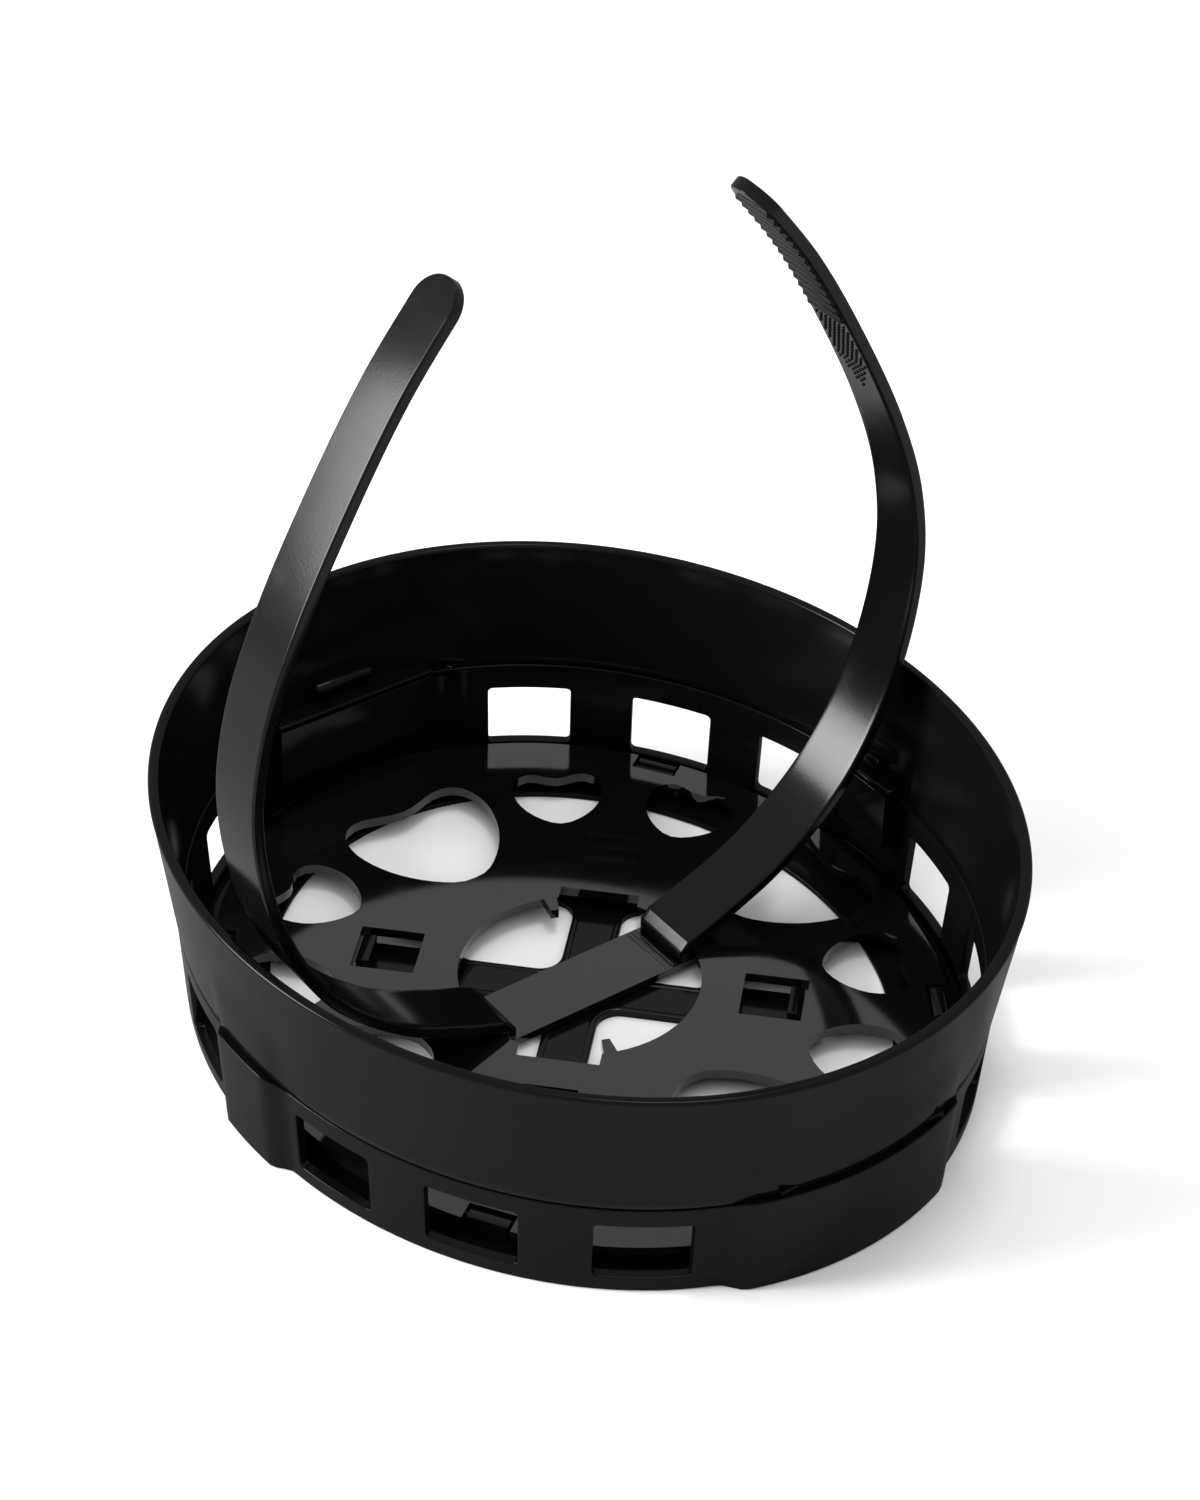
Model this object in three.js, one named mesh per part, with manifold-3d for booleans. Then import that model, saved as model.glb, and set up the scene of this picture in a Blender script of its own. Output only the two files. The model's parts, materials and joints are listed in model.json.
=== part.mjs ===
// Clip-on hair dryer diffuser: an oval bowl of two snapped shells, a vented deck, and a
// twist-lock yoke whose two springy arms grip the barrel of the dryer.
// Millimetres, +Z up. The origin is at the centre of the foot that the bowl stands on,
// +X is the long axis of the oval, and the arms stand over the short axis, Y.
import * as THREE from 'three';
import { mergeVertices } from 'three/addons/utils/BufferGeometryUtils.js';
import Module from 'manifold-3d';

const wasm = await Module();
wasm.setup();

// ---------- driving dimensions ----------
const BOWL = { footShort: 71.8, footLong: 82.3, rimShort: 76.7, rimHeight: 48.7, wall: 2, lipRound: 0.6 };
const SEAM = { height: 20.4, lipHeight: 1.6, lipThickness: 0.8 };
const BASE_DRAFT = 0.06;
const FLANGE = { width: 13.3, thickness: 1.2 };
const PANEL = { bulge: 2.2, longHalfAngle: 16.8, shortHalfAngle: 7.2, blendAngle: 3.4, seamDrop: 1.9 };
const WINDOW = { width: 17.2, sill: 3.5, height: 12.9, corner: 0.9 };
const WINDOW_GROUP = { angle: 50.3, pitch: 22.3, count: 3 };
const DECK = { top: 5.4, thickness: 2, wallGap: 3.5 };
const KEYHOLE = { radius: 23.3, notchMargin: 1.1, stopDepth: 3.8, stopHalfAngle: 3.2, stopFromNotch: 4 };
const POCKET = { margin: 7.9, length: 12.3, width: 12, angle: 45 };
const VENT = { smallOffset: 13.8, broadSides: 44, smallSides: 28 };
const RETAINER = { thickness: 1.2, ringMargin: 7.7, ringWidth: 3.2, wingWidth: 13 };
const SPOKE = { width: 9.6, fillet: 4.5 };
const BAR = { width: 13.4, thickness: 1.7, lugLength: 1.4 };
const ARM = { height: 163.4, rootHeight: 8, thickness: 2.4, tipShare: 0.8, rimClearance: 3.4 };
const RIDGE = { count: 14, pitch: 2.4, height: 0.5 };
const CLIP = { thickness: 1.4, width: 8, barb: 1, barbHeight: 0.9, sideGap: 0.6 };
const CLIP_SEAT = { notchDepth: 2.6, ledgeDepth: 1.6, ledgeThickness: 0.8, turn: 1 };
const RING_CLIP = { thickness: 1.6, length: 12.6, longWidth: 36, shortWidth: 13, padHeight: 2.4 };
const RING_BARB = { depth: 1.4, share: 0.45 };
const PAD = { radius: 2, angles: [22, 72, 108, 158, 202, 252, 288, 338] };
const RIB_MARK = { angle: 135, count: 3, length: 11, width: 1.4, height: 0.5, fromKeyhole: 13, pitch: 3.9 };
const LINE_MARK = { angle: -45, length: 10.3, width: 0.8, fromKeyhole: 9.9, depth: 0.5 };

// ---------- clearances ----------
const GAP = 0.3;
const TWIST_GAP = 0.8;
const CUT = 1;

// ---------- smoothness ----------
const SHELL_SIDES = 144;
const HOLE_SIDES = 64;

const rad = THREE.MathUtils.degToRad;
const centre = new THREE.Vector2();
const stretch = BOWL.footLong / BOWL.footShort;

// ---------- materials ----------
const plastic = (color, roughness) => new THREE.MeshStandardMaterial({ color, roughness, metalness: 0 });
const satinBlack = plastic(0x1b1b1d, 0.4);
const glossBlack = plastic(0x141416, 0.22);
const clipBlack = plastic(0x202022, 0.45);

// ---------- solids ----------
function solid(geometry) {
  const bare = geometry.clone();
  bare.deleteAttribute('normal');
  bare.deleteAttribute('uv');
  const merged = mergeVertices(bare, 1e-4);
  return new wasm.Manifold(new wasm.Mesh({
    numProp: 3,
    vertProperties: new Float32Array(merged.attributes.position.array),
    triVerts: new Uint32Array(merged.index.array),
  }));
}

function geometryOf(manifold) {
  const mesh = manifold.getMesh();
  const geometry = new THREE.BufferGeometry();
  geometry.setAttribute('position', new THREE.BufferAttribute(new Float32Array(mesh.vertProperties), 3));
  geometry.setIndex(new THREE.BufferAttribute(new Uint32Array(mesh.triVerts), 1));
  return geometry;
}

const evenly = (steps) => Array.from({ length: steps + 1 }, (_, i) => i / steps);
const joined = (first, ...others) => others.reduce((sum, other) => sum.add(other), first);
const cut = (first, ...others) => others.reduce((rest, other) => rest.subtract(other), first);

function box(x0, x1, y0, y1, z0, z1) {
  const geometry = new THREE.BoxGeometry(x1 - x0, y1 - y0, z1 - z0);
  return solid(geometry.translate((x0 + x1) / 2, (y0 + y1) / 2, (z0 + z1) / 2));
}

// A box laid out along a spoke: u runs outwards at the given angle, v across it.
function spokeBox(angle, u0, u1, v0, v1, z0, z1) {
  return turned(box(u0, u1, v0, v1, z0, z1), angle);
}

const turned = (manifold, degrees) => manifold.rotate([0, 0, degrees]);

function plate(shape, z0, z1, curveSegments = 12) {
  const options = { depth: z1 - z0, bevelEnabled: false, curveSegments };
  return solid(new THREE.ExtrudeGeometry(shape, options).translate(0, 0, z0));
}

// ---------- the oval ----------
// Distance from the axis to an oval of the given short half-axis, at a polar angle.
function ovalRadius(shortHalf, angle, ratio = stretch) {
  return shortHalf / Math.hypot(Math.cos(angle) / ratio, Math.sin(angle));
}

const smooth = (t) => THREE.MathUtils.smoothstep(t, 0, 1);

// 1 on the four plain panels at the ends of the axes, 0 on the windowed stretches between them.
function panelShare(angle) {
  const fromX = Math.abs(Math.asin(Math.sin(angle)));
  const fromY = Math.PI / 2 - fromX;
  const share = (off, half) => smooth((rad(half + PANEL.blendAngle / 2) - off) / rad(PANEL.blendAngle));
  return Math.max(share(fromX, PANEL.longHalfAngle), share(fromY, PANEL.shortHalfAngle));
}

const baseShortAt = (z) => BOWL.footShort + BASE_DRAFT * z;
const seamShort = baseShortAt(SEAM.height);
const deckShort = baseShortAt(DECK.top) - BOWL.wall - DECK.wallGap;
const deckEdge = (angle) => ovalRadius(baseShortAt(DECK.top) - BOWL.wall, angle) - DECK.wallGap;
const ringDraft = (BOWL.rimShort - seamShort) / (BOWL.rimHeight - SEAM.height);
const ringShortAt = (z) => seamShort + ringDraft * (z - SEAM.height);

// Turns a closed profile of [short half-axis, z] pairs round the axis as an oval.
// bulge(angle, z, short) moves the skin outwards.
function ovalLathe(profile, bulge = () => 0, sides = SHELL_SIDES) {
  const points = [...profile, profile[0]].map(([r, z]) => new THREE.Vector2(r, z));
  const geometry = new THREE.LatheGeometry(points, sides).rotateX(Math.PI / 2);
  const position = geometry.attributes.position;
  for (let i = 0; i < position.count; i += 1) {
    const [x, y, z] = [position.getX(i), position.getY(i), position.getZ(i)];
    const angle = Math.atan2(y, x);
    const short = Math.hypot(x, y);
    const radius = ovalRadius(short, angle) + bulge(angle, z, short);
    position.setXY(i, radius * Math.cos(angle), radius * Math.sin(angle));
  }
  return solid(geometry);
}

// ---------- shells ----------
const flangeTop = FLANGE.thickness;
const lipTop = SEAM.height + SEAM.lipHeight;
const clipOffset = WINDOW_GROUP.angle - CLIP_SEAT.turn;
const clipAngles = [clipOffset, 180 - clipOffset, clipOffset - 180, -clipOffset];

function windowCutter() {
  const shape = new THREE.Shape();
  const [half, r] = [WINDOW.width / 2, WINDOW.corner];
  const [low, high] = [WINDOW.sill, WINDOW.sill + WINDOW.height];
  shape.moveTo(-half + r, low).lineTo(half - r, low).absarc(half - r, low + r, r, -Math.PI / 2, 0);
  shape.lineTo(half, high - r).absarc(half - r, high - r, r, 0, Math.PI / 2);
  shape.lineTo(-half + r, high).absarc(-half + r, high - r, r, Math.PI / 2, Math.PI);
  shape.lineTo(-half, low + r).absarc(-half + r, low + r, r, Math.PI, Math.PI * 1.5);
  const depth = 16;
  const geometry = new THREE.ExtrudeGeometry(shape, { depth, bevelEnabled: false, curveSegments: 2 });
  // stands upright, with its depth running outwards along +X
  return solid(geometry.rotateX(Math.PI / 2).rotateZ(Math.PI / 2).translate(-depth / 2, 0, 0));
}

function windowAngles() {
  const middle = (WINDOW_GROUP.count - 1) / 2;
  const { angle } = WINDOW_GROUP;
  const groups = [angle, 180 - angle, 180 + angle, -angle];
  return groups.flatMap((centre) => Array.from({ length: WINDOW_GROUP.count },
    (_, i) => centre + (i - middle) * WINDOW_GROUP.pitch));
}

// The direction that the skin faces at a polar angle, in degrees.
function facing(angle) {
  const a = rad(angle);
  return THREE.MathUtils.radToDeg(Math.atan2(Math.sin(a) * stretch * stretch, Math.cos(a)));
}

function onWall(manifold, angle, shortHalf) {
  const at = polar(ovalRadius(shortHalf, rad(angle)), angle);
  return turned(manifold, facing(angle)).translate([at.x, at.y, 0]);
}

// The four ring clips: two broad ones at the ends of the long axis, two narrow ones on the short axis.
const ringClipPlaces = [0, 90, 180, 270].map((angle) => {
  const long = angle % 180 === 0;
  const width = long ? RING_CLIP.longWidth : RING_CLIP.shortWidth;
  const skinShort = baseShortAt(0) - BOWL.wall;
  const [along, across] = long ? [stretch * skinShort, skinShort] : [skinShort, stretch * skinShort];
  const wallAtEnds = along * Math.sqrt(1 - (width / 2 / across) ** 2) + PANEL.bulge;
  const outerFace = Math.min(wallAtEnds, along + PANEL.bulge - RING_BARB.depth) - GAP;
  const halfAngle = rad(long ? PANEL.longHalfAngle : PANEL.shortHalfAngle);
  const seamRadius = ovalRadius(seamShort, rad(angle));
  const panelReach = (blend) => seamRadius * Math.sin(halfAngle + blend * rad(PANEL.blendAngle));
  return { angle, width, panelReach, face: outerFace - RING_CLIP.thickness };
});

function buildBase() {
  const inner = (z) => baseShortAt(z) - BOWL.wall;
  const round = BOWL.lipRound;
  const profile = [
    [inner(0) - FLANGE.width, 0], [baseShortAt(0) - round, 0], [baseShortAt(round), round],
    [baseShortAt(SEAM.height), SEAM.height], [inner(SEAM.height) + SEAM.lipThickness, SEAM.height],
    [inner(SEAM.height) + SEAM.lipThickness, lipTop], [inner(SEAM.height), lipTop],
    [inner(SEAM.height), SEAM.height - 1],
    [inner(flangeTop), flangeTop], [inner(0) - FLANGE.width, flangeTop],
  ];
  let shell = ovalLathe(profile, (angle, z, short) => {
    const onWall = z <= SEAM.height + 0.01 && short >= inner(0) - 0.01;
    return onWall ? PANEL.bulge * panelShare(angle) : 0;
  });
  // the lip stops short of the panels, where the ring clips stand
  for (const { angle, face, panelReach } of ringClipPlaces) {
    const half = panelReach(0.5);
    shell = cut(shell, spokeBox(angle, face - 4, face + 12, -half, half, SEAM.height - GAP, lipTop + CUT));
  }
  const cutter = windowCutter();
  shell = cut(shell, ...windowAngles().map((angle) => onWall(cutter, angle, BOWL.footShort)));
  // pads on the flange that the deck rests on
  const padHeight = DECK.top - DECK.thickness - GAP - flangeTop + 0.2;
  const pad = solid(new THREE.CylinderGeometry(PAD.radius, PAD.radius, padHeight, 16).rotateX(Math.PI / 2));
  const padShort = deckShort - PAD.radius - 0.2;
  const pads = PAD.angles.map((angle) => {
    const at = polar(ovalRadius(padShort, rad(angle)), angle);
    return pad.translate([at.x, at.y, flangeTop - 0.2 + padHeight / 2]);
  });
  // a catch inside each panel, over the barb of its ring clip
  const catches = ringClipPlaces.map(({ angle, width, face }) => {
    const reach = face + RING_CLIP.thickness + 0.6;
    const half = (width * RING_BARB.share) / 2 + 1;
    const low = barbTop() + 0.5;
    return spokeBox(angle, reach, face + 6, -half, half, low, low + 1.2).intersect(bowlCore());
  });
  return joined(shell, ...pads, ...catches);
}

// Everything inside the middle of the base wall, to trim what is joined to the inside of it.
function bowlCore() {
  const middle = (z) => baseShortAt(z) - BOWL.wall / 2;
  const [low, high] = [0.5, SEAM.height - 1];
  const profile = [[0, low], [middle(low), low], [middle(high), high], [0, high]];
  return ovalLathe(profile, (angle, z) => (z > 0 ? PANEL.bulge * panelShare(angle) : 0));
}

// ---------- ring ----------
const ringLow = SEAM.height + GAP;
const padLow = lipTop + GAP;

function buildRing() {
  const outer = ringShortAt;
  const inner = (z) => ringShortAt(z) - BOWL.wall;
  const rebate = SEAM.lipThickness + GAP;
  const top = BOWL.rimHeight;
  const round = BOWL.lipRound;
  const profile = [
    [outer(ringLow), ringLow], [outer((ringLow + top) / 2), (ringLow + top) / 2],
    [outer(top - round), top - round], [outer(top) - round, top], [inner(top) + round, top],
    [inner(top - round), top - round], [inner(padLow), padLow],
    [inner(padLow) + rebate, padLow], [inner(ringLow) + rebate, ringLow],
  ];
  const fade = (z) => 1 - smooth((z - ringLow) / (0.6 * (top - ringLow)));
  let ring = ovalLathe(profile, (angle, z) => 0.5 * PANEL.bulge * panelShare(angle) * fade(z));
  for (const { angle, width, face, panelReach } of ringClipPlaces) {
    // the skirt is cut away over each panel, and a flat pad inside carries the clip
    const reach = panelReach(-0.3);
    const skirtTop = ringLow + PANEL.seamDrop;
    const skirt = spokeBox(angle, face - 6, face + 14, -reach, reach, ringLow - CUT, skirtTop);
    const half = width / 2;
    const pad = spokeBox(angle, face - GAP, face + 6, -half, half, padLow, padLow + RING_CLIP.padHeight);
    ring = joined(cut(ring, skirt), pad.intersect(ringCore()));
  }
  return ring;
}

// Everything inside the middle of the ring wall.
function ringCore() {
  const middle = (z) => ringShortAt(z) - BOWL.wall / 2;
  const [low, high] = [ringLow - CUT, BOWL.rimHeight - CUT];
  return ovalLathe([[0, low], [middle(low), low], [middle(high), high], [0, high]]);
}

const barbTop = () => padLow - GAP - RING_CLIP.length + 1 + RING_BARB.depth;

// A flat tongue that hangs from the ring inside a panel, with a barb along its lower edge.
function buildRingClip({ angle, width, face }) {
  const high = padLow - GAP;
  const low = high - RING_CLIP.length;
  const barbHalf = (width * RING_BARB.share) / 2;
  const tongue = spokeBox(angle, face, face + RING_CLIP.thickness, -width / 2, width / 2, low, high);
  const profile = new THREE.Shape([
    new THREE.Vector2(0, low + 0.2), new THREE.Vector2(RING_BARB.depth, low + 1),
    new THREE.Vector2(RING_BARB.depth, barbTop()), new THREE.Vector2(0, barbTop()),
    new THREE.Vector2(-0.5, barbTop()), new THREE.Vector2(-0.5, low + 0.2),
  ]);
  const barb = solid(new THREE.ExtrudeGeometry(profile, { depth: 2 * barbHalf, bevelEnabled: false })
    .rotateX(Math.PI / 2).translate(face + RING_CLIP.thickness, barbHalf, 0));
  return joined(tongue, turned(barb, angle));
}

// ---------- deck ----------
const pocketInner = KEYHOLE.radius + POCKET.margin;
const pocketOuter = pocketInner + POCKET.length;
const diagonals = [45, 135, 225, 315];
const axes = [0, 90, 180, 270];

function polar(radius, degrees) {
  return new THREE.Vector2(radius * Math.cos(rad(degrees)), radius * Math.sin(rad(degrees)));
}

// Half outlines of the two kinds of vent, from the inner end to the outer end: the share of the way
// from the keyhole to the edge of the deck, and the degrees off the vent's middle line.
const BROAD_VENT = [
  [0.275, 0], [0.289, 5], [0.395, 11.8], [0.575, 15.8], [0.778, 15.7], [0.908, 12.8], [0.935, 9], [0.866, 0],
];
const SMALL_VENT = [[0.538, 0], [0.607, 6], [0.744, 9], [0.882, 8], [0.926, 5], [0.885, 0]];

// A closed smooth outline through a half outline and its mirror image.
function ventPath(middle, half, divisions) {
  const at = ([share, off]) => polar(THREE.MathUtils.lerp(KEYHOLE.radius, deckShort, share), middle + off);
  const mirrored = half.filter(([, off]) => off > 0).map(([share, off]) => [share, -off]).reverse();
  const points = [...half, ...mirrored].map(at).map((p) => new THREE.Vector3(p.x, p.y, 0));
  const curve = new THREE.CatmullRomCurve3(points, true, 'centripetal');
  const spaced = curve.getSpacedPoints(divisions).slice(0, -1);
  return new THREE.Path(spaced.map((p) => new THREE.Vector2(p.x, p.y)));
}

// The central opening: round, with a notch at both ends of one diameter that lets the bar's lugs
// through, and a stop tooth beside each notch.
function keyholePath() {
  const half = BAR.width / 2 + KEYHOLE.notchMargin;
  const reach = KEYHOLE.radius + BAR.lugLength + KEYHOLE.notchMargin / 2;
  const notchAngle = THREE.MathUtils.radToDeg(Math.asin(half / KEYHOLE.radius));
  const arc = (from, to) => {
    const steps = Math.ceil(((to - from) / 360) * HOLE_SIDES);
    return evenly(steps).map((share) => polar(KEYHOLE.radius, THREE.MathUtils.lerp(from, to, share)));
  };
  const points = [135, 315].flatMap((notch) => {
    const corner = (side) => new THREE.Vector2(reach, side * half).rotateAround(centre, rad(notch));
    const stop = notch + notchAngle + KEYHOLE.stopFromNotch;
    const toothHalf = 0.7 * KEYHOLE.stopHalfAngle;
    const tooth = [-toothHalf, toothHalf].map((off) => polar(KEYHOLE.radius - KEYHOLE.stopDepth, stop + off));
    return [
      corner(-1), corner(1),
      ...arc(notch + notchAngle, stop - KEYHOLE.stopHalfAngle), ...tooth,
      ...arc(stop + KEYHOLE.stopHalfAngle, notch + 180 - notchAngle),
    ];
  });
  return new THREE.Path(points);
}

function buildDeck() {
  const outline = Array.from({ length: SHELL_SIDES }, (_, i) => {
    const angle = (i / SHELL_SIDES) * 360;
    return polar(deckEdge(rad(angle)), angle);
  });
  const shape = new THREE.Shape(outline);
  shape.holes.push(keyholePath());
  for (const angle of axes) shape.holes.push(ventPath(angle, BROAD_VENT, VENT.broadSides));
  for (const angle of diagonals) {
    for (const side of [-1, 1]) {
      shape.holes.push(ventPath(angle + side * VENT.smallOffset, SMALL_VENT, VENT.smallSides));
    }
  }
  const [low, high] = [DECK.top - DECK.thickness, DECK.top];
  let deck = plate(shape, low, high);
  // a pocket or a notch goes right through, with a low ledge along one side for the clip's nose
  const ledgeTop = low + CLIP_SEAT.ledgeThickness;
  for (const angle of [POCKET.angle, POCKET.angle + 180]) {
    const half = POCKET.width / 2;
    const ledgeStart = pocketOuter - CLIP_SEAT.ledgeDepth;
    const through = spokeBox(angle, pocketInner, ledgeStart, -half, half, low - CUT, high + CUT);
    const recess = spokeBox(angle, ledgeStart - CUT, pocketOuter, -half, half, ledgeTop, high + CUT);
    deck = cut(deck, through, recess);
  }
  for (const angle of clipAngles) {
    const half = CLIP.width / 2 + CLIP.sideGap;
    const outside = BOWL.wall + DECK.wallGap;
    const through = box(-CLIP_SEAT.notchDepth, outside, -half, half, low - CUT, high + CUT);
    const ledgeEnd = -CLIP_SEAT.notchDepth - CLIP_SEAT.ledgeDepth;
    const notch = joined(through, box(ledgeEnd, outside, -half, half, ledgeTop, high + CUT));
    const at = polar(deckEdge(rad(angle)), angle);
    deck = cut(deck, turned(notch, facing(angle)).translate([at.x, at.y, 0]));
  }
  // raised ribs at one notch, a single engraved line at the other
  for (let i = 0; i < RIB_MARK.count; i += 1) {
    const u = KEYHOLE.radius + RIB_MARK.fromKeyhole + i * RIB_MARK.pitch;
    const [w, half] = [RIB_MARK.width / 2, RIB_MARK.length / 2];
    const rib = spokeBox(RIB_MARK.angle, u - w, u + w, -half, half, high - 0.2, high + RIB_MARK.height);
    deck = joined(deck, rib);
  }
  const u = KEYHOLE.radius + LINE_MARK.fromKeyhole;
  const [w, half] = [LINE_MARK.width / 2, LINE_MARK.length / 2];
  return cut(deck, spokeBox(LINE_MARK.angle, u - w, u + w, -half, half, high - LINE_MARK.depth, high + CUT));
}

// ---------- hooks between base, deck and retainer ----------
// A hook that stands at u = 0, its nose pointing to -u over the ledge of its seat in the deck.
function hook(low) {
  const ledge = DECK.top - DECK.thickness + CLIP_SEAT.ledgeThickness + GAP;
  const top = ledge + CLIP.barbHeight;
  const nose = -CLIP.barb - GAP;
  const outline = new THREE.Shape([
    new THREE.Vector2(0, low), new THREE.Vector2(CLIP.thickness, low),
    new THREE.Vector2(CLIP.thickness, top), new THREE.Vector2(0, top),
    new THREE.Vector2(nose, ledge + CLIP.barbHeight / 2), new THREE.Vector2(nose, ledge),
    new THREE.Vector2(0, ledge),
  ]);
  return solid(new THREE.ExtrudeGeometry(outline, { depth: CLIP.width, bevelEnabled: false })
    .rotateX(Math.PI / 2).translate(0, CLIP.width / 2, 0));
}

function buildBaseClip(angle) {
  const part = hook(flangeTop + GAP).translate([GAP - CLIP_SEAT.notchDepth, 0, 0]);
  const at = polar(deckEdge(rad(angle)), angle);
  return turned(part, facing(angle)).translate([at.x, at.y, 0]);
}

function buildRetainerClip(angle) {
  const part = turned(hook(RETAINER.thickness + GAP), 180);
  return turned(part.translate([pocketOuter - CLIP_SEAT.ledgeDepth - GAP, 0, 0]), angle);
}

// ---------- retainer ----------
function buildRetainer() {
  const { ringWidth, thickness } = RETAINER;
  const { fillet } = SPOKE;
  const ringRadius = KEYHOLE.radius + RETAINER.ringMargin;
  const disc = new THREE.Shape().absarc(0, 0, ringRadius, 0, Math.PI * 2);
  const inner = ringRadius - ringWidth;
  const half = SPOKE.width / 2;
  for (const angle of axes) {
    // one quadrant opening, between two spokes, with rounded corners
    const corner = new THREE.Vector2(half + fillet, half + fillet);
    const reach = Math.sqrt((inner - fillet) ** 2 - (half + fillet) ** 2);
    const start = Math.atan2(half + fillet, reach);
    const hole = new THREE.Path();
    hole.absarc(corner.x, corner.y, fillet, Math.PI, Math.PI * 1.5);
    hole.absarc(reach, half + fillet, fillet, Math.PI * 1.5, Math.PI * 2 + start);
    hole.absarc(0, 0, inner, start, Math.PI / 2 - start);
    hole.absarc(half + fillet, reach, fillet, Math.PI / 2 - start, Math.PI);
    const points = hole.getPoints(6).map((p) => p.rotateAround(centre, rad(angle + POCKET.angle)));
    disc.holes.push(new THREE.Path(points.slice(0, -1)));
  }
  const wingHalf = RETAINER.wingWidth / 2;
  const wingEnd = pocketOuter + 1.2;
  const wing = (angle) => spokeBox(angle, ringRadius - 1, wingEnd, -wingHalf, wingHalf, 0, thickness);
  return joined(plate(disc, 0, thickness, 24), wing(POCKET.angle), wing(POCKET.angle + 180));
}

// ---------- yoke ----------
// The bar lies across the keyhole, and its lugs reach under the deck. The arms rise through the
// keyhole, so the corners of their risers turn inside it.
const barLow = RETAINER.thickness + GAP;
const barTop = barLow + BAR.thickness;
const lugTop = Math.min(barTop, DECK.top - DECK.thickness - GAP);
const riserOuter = Math.sqrt((KEYHOLE.radius - TWIST_GAP) ** 2 - (BAR.width / 2) ** 2);
const riserInner = riserOuter - ARM.thickness + 0.1;

function buildBar() {
  const half = BAR.width / 2;
  const reach = KEYHOLE.radius + BAR.lugLength;
  const bar = box(-half, half, -riserOuter, riserOuter, barLow, barTop);
  const lugs = box(-half, half, -reach, reach, barLow, lugTop);
  return joined(bar, lugs);
}

// The inner face of an arm: the share of the way out from its root to its widest place, and the
// share of its height.
const ARM_LINE = [
  [0, 0.048], [0.176, 0.069], [0.435, 0.109], [0.725, 0.192], [0.92, 0.311], [1, 0.449],
  [0.96, 0.557], [0.834, 0.665], [0.595, 0.805], [0.395, 0.904], [0.236, 0.967], [0.146, 1],
];

const armReach = BOWL.rimShort - BOWL.wall - ARM.rimClearance;
const armCurve = new THREE.CatmullRomCurve3(ARM_LINE.map(([out, up]) => new THREE.Vector3(
  THREE.MathUtils.lerp(riserOuter - 0.3, armReach, out), up * ARM.height, 0)), false, 'centripetal');

// A point at a share of the arm's length, moved off its inner face towards the inside.
function armPoint(share, offset) {
  const p = armCurve.getPointAt(share);
  const d = armCurve.getTangentAt(share);
  return new THREE.Vector2(p.x - d.y * offset, p.y + d.x * offset);
}

function armOutline() {
  const length = armCurve.getLength();
  const ridgeShare = RIDGE.pitch / length;
  const plainShare = 1 - RIDGE.count * ridgeShare;
  const [innerSteps, outerSteps] = [30, 36];
  const innerFace = evenly(innerSteps).map((share) => armPoint(plainShare * share, 0));
  for (let i = 0; i < RIDGE.count; i += 1) {
    const start = plainShare + i * ridgeShare;
    innerFace.push(armPoint(start + 0.35 * ridgeShare, RIDGE.height), armPoint(start + 0.7 * ridgeShare, 0));
  }
  const outerFace = evenly(outerSteps).map((share) => armPoint(1 - share, -ARM.thickness));
  const foot = barTop + GAP;
  const riser = [
    [riserOuter, DECK.top + 0.7], [riserOuter, foot], [riserInner, foot],
    [riserInner, ARM.rootHeight - 1.4], [riserInner + 0.6, ARM.rootHeight - 0.4],
  ].map(([y, z]) => new THREE.Vector2(y, z));
  return [...innerFace, ...outerFace, ...riser];
}

// Takes the corners off the end of an arm, so that it is a half circle seen from its face.
function tipCutter() {
  const radius = (ARM.tipShare * BAR.width) / 2;
  const corners = box(-2 * radius, 2 * radius, -radius, radius, -10, 10);
  const disc = new THREE.CylinderGeometry(radius, radius, 24, 32).rotateX(Math.PI / 2);
  const round = solid(disc.translate(0, -radius, 0));
  const tip = armPoint(1, 0);
  const lean = armCurve.getTangentAt(1);
  const matrix = new THREE.Matrix4().makeBasis(
    new THREE.Vector3(1, 0, 0), new THREE.Vector3(0, lean.x, lean.y), new THREE.Vector3(0, -lean.y, lean.x));
  matrix.setPosition(0, tip.x, tip.y);
  return cut(corners, round).transform(matrix.elements);
}

function buildArm() {
  const shape = new THREE.Shape(armOutline());
  const geometry = new THREE.ExtrudeGeometry(shape, { depth: BAR.width, bevelEnabled: false });
  geometry.translate(0, 0, -BAR.width / 2);
  const position = geometry.attributes.position;
  for (let i = 0; i < position.count; i += 1) {
    const up = THREE.MathUtils.clamp((position.getY(i) - DECK.top) / (ARM.height - DECK.top), 0, 1);
    position.setZ(i, position.getZ(i) * THREE.MathUtils.lerp(1, ARM.tipShare, up));
  }
  // the outline's plane becomes the Y-Z plane, and its depth runs along X
  const matrix = new THREE.Matrix4().makeBasis(
    new THREE.Vector3(0, 1, 0), new THREE.Vector3(0, 0, 1), new THREE.Vector3(1, 0, 0));
  return cut(solid(geometry.applyMatrix4(matrix)), tipCutter());
}

// ---------- assembly ----------
const diffuser = new THREE.Group();
function add(name, manifold, material) {
  const mesh = new THREE.Mesh(geometryOf(manifold), material);
  mesh.name = name;
  diffuser.add(mesh);
  return mesh;
}

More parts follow.
